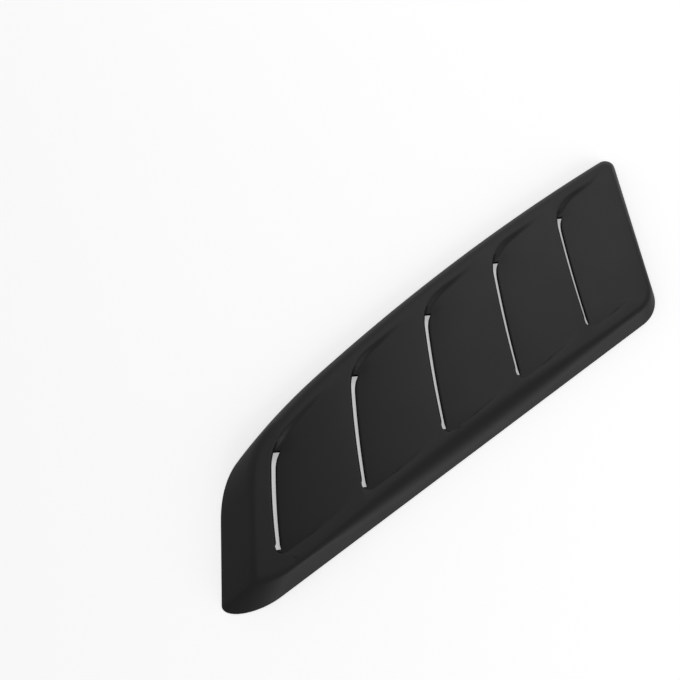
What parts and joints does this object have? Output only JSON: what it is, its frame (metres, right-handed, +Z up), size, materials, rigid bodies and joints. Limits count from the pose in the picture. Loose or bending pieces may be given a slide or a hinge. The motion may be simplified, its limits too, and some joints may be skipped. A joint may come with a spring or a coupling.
{
  "type": "louvred bonnet vent",
  "caption": "Low hollow moulded bonnet vent with slanted sunk louvres, a ramped front end and a flat rim underneath.",
  "frame": {"origin": "middle of the box around the part, at the plane of its rim", "axes": "+X along the part towards its steep rear end, +Y towards its bowed outer side, +Z up out of the bonnet"},
  "size_m": [0.4429, 0.1276, 0.0097],
  "materials": {
    "black_plastic": "fine satin moulded black plastic"
  },
  "bodies": {
    "root": {"louvre_shell": "black_plastic"}
  },
  "joints": []
}
